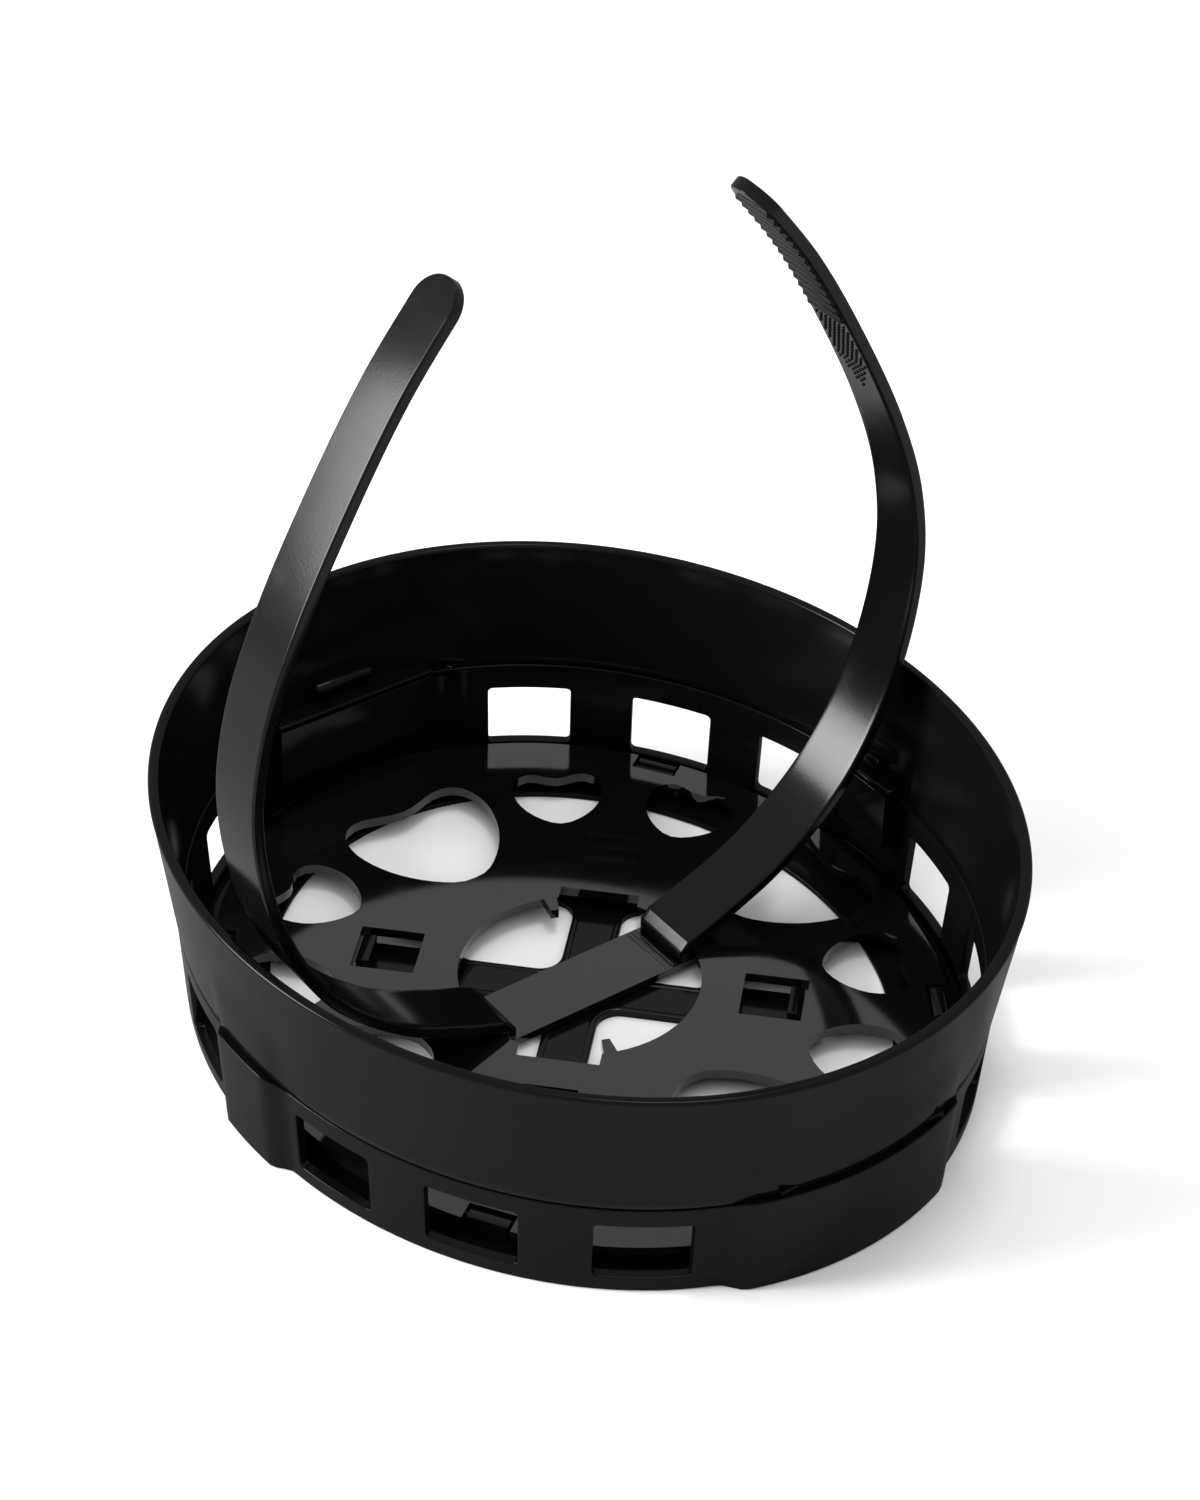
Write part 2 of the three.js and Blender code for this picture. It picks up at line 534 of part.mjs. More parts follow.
add('upper_ring', buildRing(), satinBlack);
add('base_shell', buildBase(), satinBlack);
add('deck_plate', buildDeck(), glossBlack);
add('retainer_plate', buildRetainer(), clipBlack);
add('yoke_bar', buildBar(), glossBlack);
add('arm_right', buildArm(), satinBlack);
add('arm_left', buildArm(), satinBlack).rotation.z = Math.PI;
ringClipPlaces.forEach((place, i) => add(`ring_clip_${i + 1}`, buildRingClip(place), clipBlack));
clipAngles.forEach((angle, i) => add(`base_clip_${i + 1}`, buildBaseClip(angle), clipBlack));
[POCKET.angle, POCKET.angle + 180].forEach((angle, i) => {
  add(`retainer_clip_${i + 1}`, buildRetainerClip(angle), clipBlack);
});

export default diffuser;
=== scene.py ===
"""Clip-on hair dryer diffuser: an oval bowl of two snapped shells, a vented deck with moulded clips,
and a twist-lock yoke whose two springy arms grip the dryer. Satin and gloss black plastic throughout."""
import json
import math

import bmesh
import bpy
from bpy.props import FloatProperty, FloatVectorProperty, IntProperty, PointerProperty
from mathutils import Matrix, Vector


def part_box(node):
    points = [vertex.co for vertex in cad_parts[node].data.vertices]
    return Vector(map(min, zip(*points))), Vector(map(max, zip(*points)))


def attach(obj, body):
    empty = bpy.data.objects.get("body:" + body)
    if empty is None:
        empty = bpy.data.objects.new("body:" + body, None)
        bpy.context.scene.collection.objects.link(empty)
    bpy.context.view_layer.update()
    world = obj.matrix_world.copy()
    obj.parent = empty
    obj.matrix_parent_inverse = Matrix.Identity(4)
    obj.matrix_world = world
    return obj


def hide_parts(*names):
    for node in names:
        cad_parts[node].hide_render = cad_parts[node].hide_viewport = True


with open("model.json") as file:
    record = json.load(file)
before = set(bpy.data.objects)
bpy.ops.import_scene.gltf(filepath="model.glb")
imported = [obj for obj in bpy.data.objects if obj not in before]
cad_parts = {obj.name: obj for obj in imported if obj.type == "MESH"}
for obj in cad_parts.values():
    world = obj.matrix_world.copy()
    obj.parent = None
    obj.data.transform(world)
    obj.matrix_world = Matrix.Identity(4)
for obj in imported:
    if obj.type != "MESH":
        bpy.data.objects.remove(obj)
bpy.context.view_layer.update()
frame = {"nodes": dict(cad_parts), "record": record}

bl_info = {
    "name": "Dryer Diffuser",
    "version": (1, 0, 0),
    "blender": (4, 5, 0),
    "location": "View3D > Sidebar > Diffuser",
    "description": "Models a clip-on hair dryer diffuser around its packed parts",
    "category": "Add Mesh",
}

BOWL_BODY = "bowl"
RING_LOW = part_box("upper_ring")[0]
DECK_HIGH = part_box("deck_plate")[1]
BAR_LOW, BAR_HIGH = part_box("yoke_bar")
ARM_LOW, ARM_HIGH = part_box("arm_right")

# Where the two shells lap at the seam: the base's lip stands up inside the ring's rebate.
LAP_HEIGHT = 0.0016
LIP_THICKNESS = 0.0008
REBATE = 0.0011
SEAM_CHAMFER = 0.0004

# How near a point counts as lying on a shell's skin.
SKIN_MARGIN = 0.0001

MATT_ROUGHNESS = 0.6
LAMP_AIM = Vector((0, 0, 0.08))


# ---------------------------------------------------------------- sizes and colours

class ShellSizes(bpy.types.PropertyGroup):
    """Sizes of the two shells of the bowl."""
    foot_short: FloatProperty(name="Foot short half-axis", description="Half the bowl's width at its foot",
                              default=0.0718, unit="LENGTH")
    foot_long: FloatProperty(name="Foot long half-axis", description="Half the bowl's length at its foot",
                             default=0.0823, unit="LENGTH")
    rim_short: FloatProperty(name="Rim short half-axis", description="Half the bowl's width at its rim",
                             default=0.0767, unit="LENGTH")
    rim_height: FloatProperty(name="Rim height", description="Height of the rim above the foot",
                              default=0.0487, unit="LENGTH")
    seam_height: FloatProperty(name="Seam height", description="Height of the seam between the shells",
                               default=0.0204, unit="LENGTH")
    base_draft: FloatProperty(name="Base draft", default=0.06,
                              description="How far the base's wall leans out over its height")
    wall: FloatProperty(name="Wall", description="Thickness of the shells", default=0.002, unit="LENGTH")
    lip_radius: FloatProperty(name="Lip radius", description="Rounding of the rim's two edges",
                              default=0.0007, unit="LENGTH")
    bulge: FloatProperty(name="Panel bulge", description="How far the plain panels stand proud",
                         default=0.0022, unit="LENGTH")
    long_panel: FloatProperty(name="Long-end panel", description="Half angle of a panel on the long axis",
                              default=math.radians(16.8), subtype="ANGLE")
    short_panel: FloatProperty(name="Short-end panel", description="Half angle of a panel on the short axis",
                               default=math.radians(7.2), subtype="ANGLE")
    blend: FloatProperty(name="Panel blend", description="Angle over which a panel's edge rises",
                         default=math.radians(3.4), subtype="ANGLE")
    seam_drop: FloatProperty(name="Seam lift", description="How far the ring's edge lifts over a panel",
                             default=0.0015, unit="LENGTH")
    flange: FloatProperty(name="Foot flange", description="Width of the flat ring under the bowl",
                          default=0.0133, unit="LENGTH")
    flange_thickness: FloatProperty(name="Flange thickness", description="Thickness of the flat ring",
                                    default=0.0012, unit="LENGTH")
    steps: IntProperty(name="Steps", description="Facets round the oval", default=288, min=48)


class WindowSizes(bpy.types.PropertyGroup):
    """Sizes of the windows in the base shell."""
    width: FloatProperty(name="Width", description="Width of a window", default=0.0172, unit="LENGTH")
    sill: FloatProperty(name="Sill", description="Height of a window's lower edge", default=0.0035,
                        unit="LENGTH")
    height: FloatProperty(name="Height", description="Height of a window", default=0.0129, unit="LENGTH")
    corner: FloatProperty(name="Corner", description="Radius of a window's corners", default=0.0009,
                          unit="LENGTH")
    group: FloatProperty(name="Group angle", description="Middle of a group of windows, off the long axis",
                         default=math.radians(50.3), subtype="ANGLE")
    pitch: FloatProperty(name="Pitch", description="Angle between neighbouring windows",
                         default=math.radians(22.3), subtype="ANGLE")
    count: IntProperty(name="Count", description="Windows in a group", default=3)


class ArmSizes(bpy.types.PropertyGroup):
    """Sizes of the two arms."""
    width: FloatProperty(name="Width", description="Width at the root", default=BAR_HIGH[0] - BAR_LOW[0],
                         unit="LENGTH")
    thickness: FloatProperty(name="Thickness", description="Thickness of the strap", default=0.0024,
                             unit="LENGTH")
    tip_share: FloatProperty(name="Tip share", description="Width at the tip, as a share of the root's",
                             default=0.8)
    height: FloatProperty(name="Height", description="Height of the inner face at the tip", default=0.1634,
                          unit="LENGTH")
    edge: FloatProperty(name="Edge radius", description="Rounding of the strap's edges", default=0.0005,
                        unit="LENGTH")
    ridges: IntProperty(name="Ridges", description="Grip ridges inside the tip", default=14)
    ridge_pitch: FloatProperty(name="Ridge pitch", description="Spacing of the grip ridges", default=0.0024,
                               unit="LENGTH")
    ridge_height: FloatProperty(name="Ridge height", description="Height of a grip ridge", default=0.0006,
                                unit="LENGTH")


class EdgeSizes(bpy.types.PropertyGroup):
    """Roundings of the flat moulded pieces."""
    deck: FloatProperty(name="Deck edges", description="Rounding of the deck and its vents", default=0.00022,
                        unit="LENGTH")
    clip: FloatProperty(name="Clip edges", description="Rounding of the clips and the retainer",
                        default=0.0002, unit="LENGTH")
    window: FloatProperty(name="Window edges", description="Rounding of the base shell's edges",
                          default=0.0003, unit="LENGTH")
    bar: FloatProperty(name="Bar edges", description="Rounding of the yoke's bar", default=0.00035,
                       unit="LENGTH")


class FinishSettings(bpy.types.PropertyGroup):
    """Colours and gloss of the plastics."""
    satin: FloatVectorProperty(name="Satin black", description="Colour of the shells and arms",
                               default=(0.0022, 0.0022, 0.0023), subtype="COLOR", size=3)
    gloss: FloatVectorProperty(name="Gloss black", description="Colour of the deck and the bar",
                               default=(0.0018, 0.0018, 0.0019), subtype="COLOR", size=3)
    clip: FloatVectorProperty(name="Clip black", description="Colour of the clips and the retainer",
                              default=(0.0016, 0.0016, 0.0017), subtype="COLOR", size=3)
    floor: FloatVectorProperty(name="Floor", description="Colour of the studio floor",
                               default=(0.9, 0.9, 0.9), subtype="COLOR", size=3)


class DiffuserSettings(bpy.types.PropertyGroup):
    """All the settings of the diffuser."""
    shell: PointerProperty(type=ShellSizes)
    window: PointerProperty(type=WindowSizes)
    arm: PointerProperty(type=ArmSizes)
    edge: PointerProperty(type=EdgeSizes)
    finish: PointerProperty(type=FinishSettings)


def settings():
    return bpy.context.scene.diffuser


# ---------------------------------------------------------------- node materials

class Socket:
    """A value in a material's node tree, with the arithmetic that the finishes use."""

    def __init__(self, shader, link):
        self.shader = shader
        self.link = link

    def _math(self, operation, *values):
        return self.shader.node("ShaderNodeMath", {"operation": operation}, dict(enumerate(values)))

    def __add__(self, other):
        return self._math("ADD", self, other)

    def __radd__(self, other):
        return self._math("ADD", other, self)

    def __sub__(self, other):
        return self._math("SUBTRACT", self, other)

    def __rsub__(self, other):
        return self._math("SUBTRACT", other, self)

    def __mul__(self, other):
        return self._math("MULTIPLY", self, other)

    def __rmul__(self, other):
        return self._math("MULTIPLY", other, self)


class Shader:
    """A material with a Principled surface."""

    def __init__(self, name):
        self.material = bpy.data.materials.new(name)
        self.material.use_nodes = True
        self.tree = self.material.node_tree
        self.surface = self.tree.nodes["Principled BSDF"]

    def node(self, kind, options, values, output=0):
        made = self.tree.nodes.new(kind)
        for key, value in options.items():
            setattr(made, key, value)
        for key, value in values.items():
            self.feed(made.inputs[key], value)
        return Socket(self, made.outputs[output])

    def feed(self, target, value):
        if isinstance(value, Socket):
            self.tree.links.new(value.link, target)
        else:
            target.default_value = value

    def set(self, **values):
        for key, value in values.items():
            self.feed(self.surface.inputs[key.replace("_", " ")], value)

    def dull(self, colour, sheen):
        """Mixes the surface with a matt one of the same colour; sheen is the share that stays glossy."""
        matt = self.tree.nodes.new("ShaderNodeBsdfPrincipled")
        matt.inputs["Base Color"].default_value = colour
        matt.inputs["Roughness"].default_value = MATT_ROUGHNESS
        matt.inputs["Specular IOR Level"].default_value = 0.0
        mix = self.tree.nodes.new("ShaderNodeMixShader")
        mix.inputs[0].default_value = sheen
        self.tree.links.new(matt.outputs[0], mix.inputs[1])
        self.tree.links.new(self.surface.outputs[0], mix.inputs[2])
        self.tree.links.new(mix.outputs[0], self.tree.nodes["Material Output"].inputs["Surface"])

    def place(self):
        return self.node("ShaderNodeTexCoord", {}, {}, "Object")

    def noise(self, scale, detail=3.0, roughness=0.5):
        values = {"Vector": self.place(), "Scale": scale, "Detail": detail, "Roughness": roughness}
        return self.node("ShaderNodeTexNoise", {}, values, "Fac")

    def ramp(self, fac, low, high):
        options = {"interpolation_type": "SMOOTHSTEP"}
        return self.node("ShaderNodeMapRange", options, {"Value": fac, "From Min": low, "From Max": high})

    def mix(self, fac, first, second):
        made = self.tree.nodes.new("ShaderNodeMix")
        made.data_type = "RGBA"
        self.feed(made.inputs[0], fac)
        self.feed(made.inputs[6], first)
        self.feed(made.inputs[7], second)
        return Socket(self, made.outputs[2])

    def bump(self, height, distance, strength=1.0):
        values = {"Height": height, "Distance": distance, "Strength": strength}
        return self.node("ShaderNodeBump", {}, values, "Normal")


def moulded_plastic(name, colour, roughness, grain, sheen):
    """Black moulded plastic: faint flow shading, a fine skin, light handling marks and specks of dust."""
    shader = Shader(name)
    flow = shader.noise(scale=38.0, detail=2.0)
    handling = shader.ramp(shader.noise(scale=95.0, detail=5.0, roughness=0.62), low=0.50, high=0.72)
    dust = shader.ramp(shader.noise(scale=2600.0, detail=1.0), low=0.73, high=0.80)
    skin = shader.noise(scale=2200.0, detail=2.0)
    ripple = shader.noise(scale=55.0, detail=1.0)
    base = tuple(colour) + (1.0,)
    lifted = tuple(1.4 * value for value in colour) + (1.0,)
    dusty = (0.022, 0.021, 0.020, 1.0)
    shader.set(Base_Color=shader.mix(dust * 0.4, shader.mix(flow, base, lifted), dusty))
    shader.set(Roughness=roughness + handling * 0.04 + dust * 0.1 + flow * 0.02)
    shader.set(IOR=1.5, Normal=shader.bump(skin * 0.2 + ripple, grain))
    if sheen < 1.0:
        shader.dull(base, sheen)
    return shader.material


def finishes():
    """The finish of each of the record's material slots, and of the arms, made once."""
    finish = settings().finish
    fine, finer = 0.00003, 0.000015
    recipes = {
        "satin_black": ("Satin black", finish.satin, 0.14, fine, 0.15),
        "arm_black": ("Arm black", finish.satin, 0.13, fine, 0.27),
        "gloss_black": ("Gloss black", finish.gloss, 0.05, finer, 1.0),
        "clip_black": ("Clip black", finish.clip, 0.12, fine, 0.3),
    }
    made = bpy.data.materials
    return {slot: made.get(recipe[0]) or moulded_plastic(*recipe) for slot, recipe in recipes.items()}


# ---------------------------------------------------------------- shared mesh work

def smoothstep(value):
    clamped = min(max(value, 0.0), 1.0)
    return clamped * clamped * (3.0 - 2.0 * clamped)


def oval_radius(short, angle):
    """Distance from the axis to an oval with that short half-axis, at a polar angle."""
    shell = settings().shell
    ratio = shell.foot_long / shell.foot_short
    return short / math.hypot(math.cos(angle) / ratio, math.sin(angle))


def panel_share(angle):
    """1 on the four plain panels at the ends of the axes, 0 between them."""
    shell = settings().shell
    from_x = abs(math.asin(math.sin(angle)))
    from_y = math.pi / 2 - from_x
    share = [smoothstep((half + shell.blend / 2 - off) / shell.blend)
             for off, half in ((from_x, shell.long_panel), (from_y, shell.short_panel))]
    return max(share)


def oval_angle(place):
    return math.atan2(place.y, place.x)


def base_short(z):
    shell = settings().shell
    return shell.foot_short + shell.base_draft * z


def ring_short(z):
    shell = settings().shell
    seam = base_short(shell.seam_height)
    return seam + (shell.rim_short - seam) * (z - shell.seam_height) / (shell.rim_height - shell.seam_height)


def rounded(corner, radius, start, turn=90.0, steps=5):
    """Points of an arc round a corner's centre, from a start angle, in degrees."""
    angles = [math.radians(start + turn * i / steps) for i in range(steps + 1)]
    return [(corner[0] + radius * math.cos(a), corner[1] + radius * math.sin(a)) for a in angles]


def spun(profile, steps):
    """A closed profile of (radius, height) points, spun into a ring."""
    bm = bmesh.new()
    verts = [bm.verts.new((r, 0.0, z)) for r, z in profile]
    edges = [bm.edges.new((verts[i - 1], verts[i])) for i in range(len(verts))]
    bmesh.ops.spin(bm, geom=verts + edges, cent=(0, 0, 0), axis=(0, 0, 1), angle=2 * math.pi,
                   steps=steps, use_merge=True)
    bmesh.ops.remove_doubles(bm, verts=bm.verts, dist=1e-7)
    bmesh.ops.recalc_face_normals(bm, faces=bm.faces)
    return bm


def bend_to_oval(bm, bulge):
    """Moves a round ring's vertices onto the oval; bulge(angle, height, short) adds to the radius."""
    for vert in bm.verts:
        angle = math.atan2(vert.co.y, vert.co.x)
        short = math.hypot(vert.co.x, vert.co.y)
        radius = oval_radius(short, angle) + bulge(angle, vert.co.z, short)
        vert.co.x = radius * math.cos(angle)
        vert.co.y = radius * math.sin(angle)


def add_box(bm, low, high):
    """A box between two corners, joined to the mesh as a body of its own."""
    made = bmesh.ops.create_cube(bm, size=1.0)["verts"]
    size = [h - l for l, h in zip(low, high)]
    middle = [(h + l) / 2 for l, h in zip(low, high)]
    bmesh.ops.scale(bm, vec=size, verts=made)
    bmesh.ops.translate(bm, vec=middle, verts=made)
    return made


def bead(bm, loop, width, height):
    """A flat half-round bead along a closed line of points, as a body of its own."""
    rings = []
    for i, point in enumerate(loop):
        along = (loop[(i + 1) % len(loop)] - loop[i - 1]).normalized()
        across = Vector((along.y, -along.x, 0))
        arc = [math.radians(turn) for turn in (0, 40, 90, 140, 180)]
        section = [(width / 2 * math.cos(a), height * math.sin(a)) for a in arc]
        section += [(-width / 2, -height), (width / 2, -height)]
        verts = [bm.verts.new(point + across * x + Vector((0, 0, z))) for x, z in section]
        rings.append([bm.edges.new((verts[j - 1], verts[j])) for j in range(len(verts))])
    for i, ring in enumerate(rings):
        bmesh.ops.bridge_loops(bm, edges=rings[i - 1] + ring)


def hole_loops(bm, top, reach):
    """Closed lines of points round the holes in a plate's top face, within a reach of the axis."""
    rim = {edge for edge in bm.edges if all(abs(vert.co.z - top) < 1e-5 for vert in edge.verts)
           and any(abs(face.normal.z) < 0.5 for face in edge.link_faces)
           and any(face.normal.z > 0.5 for face in edge.link_faces)}
    loops = []
    while rim:
        edge = rim.pop()
        line = [edge.verts[0], edge.verts[1]]
        while line[-1] is not line[0]:
            step = next((e for e in line[-1].link_edges if e in rim), None)
            if step is None:
                break
            rim.discard(step)
            line.append(step.other_vert(line[-1]))
        points = [vert.co.copy() for vert in line[:-1]]
        if max(point.length for point in points) < reach:
            loops.append(points)
    return loops


def soften(bm, radius, angle_limit=35.0, segments=2):
    """Bevels the edges that are sharper than the limit."""
    limit = math.radians(angle_limit)
    sharp = [edge for edge in bm.edges if len(edge.link_faces) == 2 and edge.calc_face_angle(0) > limit]
    bmesh.ops.bevel(bm, geom=sharp, offset=radius, offset_type="OFFSET", affect="EDGES", segments=segments,
                    profile=0.5, material=-1, clamp_overlap=True)


def finish_piece(bm, name, body, slot, nodes, finish=None):
    """Makes a mesh object of the bmesh, smooth, with its finish, on its body, for its CAD nodes."""
    mesh = bpy.data.meshes.new(name)
    bm.to_mesh(mesh)
    bm.free()
    if not mesh.polygons:
        raise RuntimeError(f"{name} came out with no faces")
    for polygon in mesh.polygons:
        polygon.use_smooth = True
    piece = bpy.data.objects.new(name, mesh)
    bpy.context.scene.collection.objects.link(piece)
    normals = piece.modifiers.new("Flat faces", "WEIGHTED_NORMAL")
    normals.keep_sharp = True
    normals.weight = 100
    mesh.materials.append(finishes()[finish or slot])
    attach(piece, body)
    if nodes:
        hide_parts(*nodes)
    return piece


def copy_of_node(name):
    """A CAD node's mesh as a bmesh: merged, with its flat stretches joined into faces."""
    bm = bmesh.new()
    bm.from_mesh(frame["nodes"][name].data)
    bmesh.ops.remove_doubles(bm, verts=bm.verts, dist=2e-6)
    bmesh.ops.dissolve_limit(bm, angle_limit=math.radians(0.6), verts=bm.verts, edges=bm.edges)
    return bm


def body_of_node(name):
    bodies = frame["record"]["behaviour"]["bodies"]
    return next(body for body, nodes in bodies.items() if name in nodes)


def slot_of_node(name):
    return next(part["material_slot"] for part in frame["record"]["subparts"] if part["node"] == name)


# ---------------------------------------------------------------- the pieces

class DIFFUSER_OT_ring(bpy.types.Operator):
    """Upper ring of the bowl, with a rounded rim and an edge that lifts over the panels"""
    bl_idname = "diffuser.ring"
    bl_label = "Upper ring"

    def execute(self, context):
        shell = settings().shell
        low = RING_LOW[2]
        top = shell.rim_height
        radius = shell.lip_radius
        rows = 18
        start = low + SEAM_CHAMFER
        heights = [start + (top - radius - low - SEAM_CHAMFER) * i / rows for i in range(rows + 1)]
        rebate_top = low + LAP_HEIGHT
        rebate = shell.wall - REBATE
        outer = [(ring_short(z), z) for z in heights[:-1]]
        lip = rounded((ring_short(top) - radius, top - radius), radius, 0)
        lip += rounded((ring_short(top) - shell.wall + radius, top - radius), radius, 90)
        inner = [(ring_short(z) - shell.wall, z) for z in reversed(heights[2:-1])]
        foot = [(ring_short(rebate_top) - shell.wall, rebate_top),
                (ring_short(rebate_top) - rebate, rebate_top),
                (ring_short(low) - rebate, low), (ring_short(low) - SEAM_CHAMFER, low)]
        bm = spun(outer + lip + inner + foot, shell.steps)
        seam = shell.seam_height

        fade_share = 0.6
        ring_share = 0.5
        lift_height = 0.009

        def bulge(angle, z, short):
            fade = 1 - smoothstep((z - seam) / (fade_share * (top - seam)))
            return ring_share * shell.bulge * panel_share(angle) * fade

        for vert in bm.verts:
            if math.hypot(vert.co.x, vert.co.y) > ring_short(vert.co.z) - rebate - SKIN_MARGIN:
                share = panel_share(oval_angle(vert.co))
                depth = 1 - smoothstep((vert.co.z - low) / lift_height)
                vert.co.z += shell.seam_drop * share * depth if vert.co.z != rebate_top else 0.0
        bend_to_oval(bm, bulge)
        self.add_pads(bm, shell)
        finish_piece(bm, "ring_moulding", BOWL_BODY, slot_of_node("upper_ring"), ["upper_ring"])
        return {"FINISHED"}

    def add_pads(self, bm, shell):
        """A flat pad behind each panel, which the ring's clip hangs from, and a small catch above it."""
        wall_height = 0.024
        pad_low, pad_high = 0.0003, 0.0017
        catch_low, catch_high = 0.0030, 0.0054
        catch_deep, catch_shallow = 0.0040, 0.0008
        for index in range(4):
            low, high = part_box(f"ring_clip_{index + 1}")
            turn = Matrix.Rotation(index * math.pi / 2, 4, "Z")
            along = 0 if index % 2 == 0 else 1
            face = min(abs(low[along]), abs(high[along]))
            half = (high[1 - along] - low[1 - along]) / 2
            wall = oval_radius(ring_short(wall_height), index * math.pi / 2)
            pad = add_box(bm, (face, -half, high[2] + pad_low), (wall - 0.001, half, high[2] + pad_high))
            catch_half = min(0.0062, half * 0.8)
            shift = 0.001 if along == 0 else 0.004
            catch = add_box(bm, (wall - catch_deep, shift - catch_half, high[2] + catch_low),
                            (wall - catch_shallow, shift + catch_half, high[2] + catch_high))
            bmesh.ops.rotate(bm, matrix=turn, verts=pad + catch)


class DIFFUSER_OT_base(bpy.types.Operator):
    """Base shell of the bowl, with its windows, proud panels and foot flange"""
    bl_idname = "diffuser.base"
    bl_label = "Base shell"

    def execute(self, context):
        shell = settings().shell
        window = settings().window
        centres = self.window_centres(window)
        angles = self.columns(window, centres)
        profile = self.profile(shell, window)
        bm = spun(profile, len(angles))
        step = 2 * math.pi / len(angles)
        inner_edge = base_short(0) - shell.wall - SKIN_MARGIN
        for vert in bm.verts:
            index = round(math.atan2(vert.co.y, vert.co.x) / step) % len(angles)
            radius = math.hypot(vert.co.x, vert.co.y)
            vert.co.x = radius * math.cos(angles[index])
            vert.co.y = radius * math.sin(angles[index])

        def bulge(angle, z, short):
            on_wall = z <= shell.seam_height + 1e-6 and short >= inner_edge
            return shell.bulge * panel_share(angle) if on_wall else 0.0

        bend_to_oval(bm, bulge)
        for vert in bm.verts:
            if vert.co.z > shell.seam_height - SKIN_MARGIN:
                share = panel_share(oval_angle(vert.co))
                ceiling = max(vert.co.z, shell.seam_height + shell.seam_drop)
                vert.co.z = min(vert.co.z + shell.seam_drop * share, ceiling)
        self.cut_windows(bm, window, centres)
        soften(bm, settings().edge.window, 40.0)
        self.add_catches(bm)
        finish_piece(bm, "base_moulding", BOWL_BODY, slot_of_node("base_shell"), ["base_shell"])
        return {"FINISHED"}

    def profile(self, shell, window):
        """The wall, the foot and the flange, with rows at the windows' sills and heads."""
        def inner(z):
            return base_short(z) - shell.wall

        foot_radius = 0.0006
        rows = [window.sill, window.sill + window.height]
        foot = rounded((base_short(0) - foot_radius, foot_radius), foot_radius, -90, 90, 4)
        outer = [(base_short(z), z) for z in rows + [shell.seam_height]]
        lip = [(inner(shell.seam_height) + LIP_THICKNESS, shell.seam_height),
               (inner(shell.seam_height) + LIP_THICKNESS, shell.seam_height + LAP_HEIGHT),
               (inner(shell.seam_height), shell.seam_height + LAP_HEIGHT)]
        wall = [(inner(z), z) for z in [shell.seam_height - 0.001] + rows[::-1] + [shell.flange_thickness]]
        edge = inner(0) - shell.flange
        return foot + outer + lip + wall + [(edge, shell.flange_thickness), (edge, 0.0)]

    def window_centres(self, window):
        groups = [window.group, math.pi - window.group, math.pi + window.group, 2 * math.pi - window.group]
        middle = (window.count - 1) / 2
        return [group + (i - middle) * window.pitch for group in groups for i in range(window.count)]

    def half_angle(self, window, centre):
        return math.asin(window.width / 2 / oval_radius(base_short(window.sill), centre))

    def columns(self, window, centres):
        """Polar angles of the columns: the windows' edges, and even steps of about a degree between."""
        stops = []
        for centre in centres:
            half = self.half_angle(window, centre)
            stops += [centre - half, centre + half]
        stops.sort()
        angles = []
        for first, second in zip(stops, stops[1:] + [stops[0] + 2 * math.pi]):
            count = max(2, round((second - first) / math.radians(1.0)))
            angles += [first + (second - first) * i / count for i in range(count)]
        return sorted(angle % (2 * math.pi) for angle in angles)

    def cut_windows(self, bm, window, centres):
        """Takes both skins out at each window and closes the jambs between them."""
        low, high = window.sill, window.sill + window.height
        for centre in centres:
            half = self.half_angle(window, centre)
            patch = []
            for face in bm.faces:
                middle = face.calc_center_median()
                off = math.remainder(math.atan2(middle.y, middle.x) - centre, 2 * math.pi)
                if low < middle.z < high and abs(off) < half:
                    patch.append(face)
            if not patch:
                raise RuntimeError("a window found no faces to cut")
            borders = {edge for face in patch for edge in face.edges}
            borders = [edge for edge in borders if sum(face in patch for face in edge.link_faces) == 1]
            bmesh.ops.delete(bm, geom=patch, context="FACES")
            jambs = bmesh.ops.bridge_loops(bm, edges=[edge for edge in borders if edge.is_valid])["faces"]
            self.round_corners(bm, jambs, window.corner)

    def round_corners(self, bm, jambs, radius):
        """Rounds the four edges that run through the wall at a window's corners."""
        through = set()
        for face in jambs:
            for edge in face.edges:
                if all(other in jambs for other in edge.link_faces) and edge.calc_face_angle(0) > 1.0:
                    through.add(edge)
        bmesh.ops.bevel(bm, geom=list(through), offset=radius, offset_type="OFFSET", affect="EDGES",
                        segments=3, profile=0.5, material=-1, clamp_overlap=True)

    def add_catches(self, bm):
        """The bar inside each panel that holds the barb of its ring clip."""
        clip_thickness = 0.0014
        barb_bite = 0.0006
        barb_height = 0.0024
        barb_share, side_room = 0.225, 0.001
        head_room = 0.0005
        for index in range(4):
            low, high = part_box(f"ring_clip_{index + 1}")
            along = index % 2
            reach = max(abs(low[along]), abs(high[along])) - clip_thickness + barb_bite
            half = (high[1 - along] - low[1 - along]) * barb_share + side_room
            top = low[2] + barb_height + head_room
            wall = oval_radius(base_short(top), index * math.pi / 2) + settings().shell.bulge - 0.001
            bar = add_box(bm, (reach, -half, top), (wall, half, top + 0.0012))
            bmesh.ops.rotate(bm, matrix=Matrix.Rotation(index * math.pi / 2, 4, "Z"), verts=bar)


